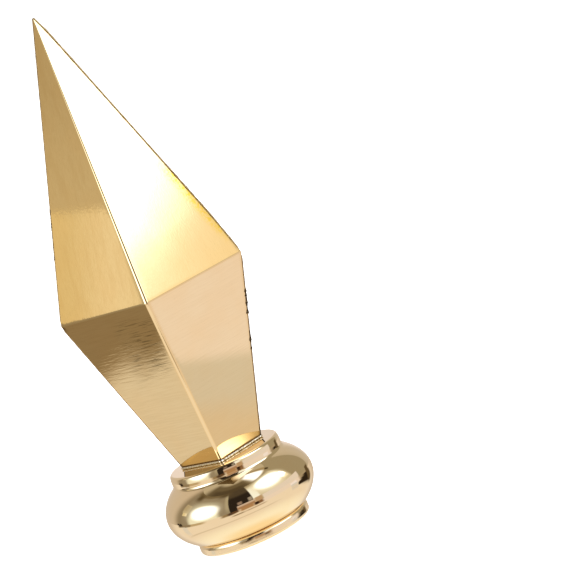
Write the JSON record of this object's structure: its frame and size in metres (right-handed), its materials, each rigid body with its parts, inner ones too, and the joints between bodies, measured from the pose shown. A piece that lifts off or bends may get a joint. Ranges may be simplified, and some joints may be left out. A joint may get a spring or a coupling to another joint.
{
  "type": "flagpole finial",
  "caption": "Four-sided elongated diamond spear on a turned round base with a blind socket that slips over a pole's end.",
  "frame": {"origin": "centre of the foot ring's flat underside, on the axis of the pole", "axes": "+Z along the pole's axis up to the tip; the spear's four upright edges face -Y, +X, +Y and -X"},
  "size_m": [0.054, 0.054, 0.1552],
  "materials": {
    "polished_gold": "mirror-polished gold plating",
    "brushed_gold": "gold plating over finely brushed sheet metal"
  },
  "bodies": {
    "root": {"socket_base": "polished_gold", "spear": "brushed_gold"}
  },
  "joints": []
}
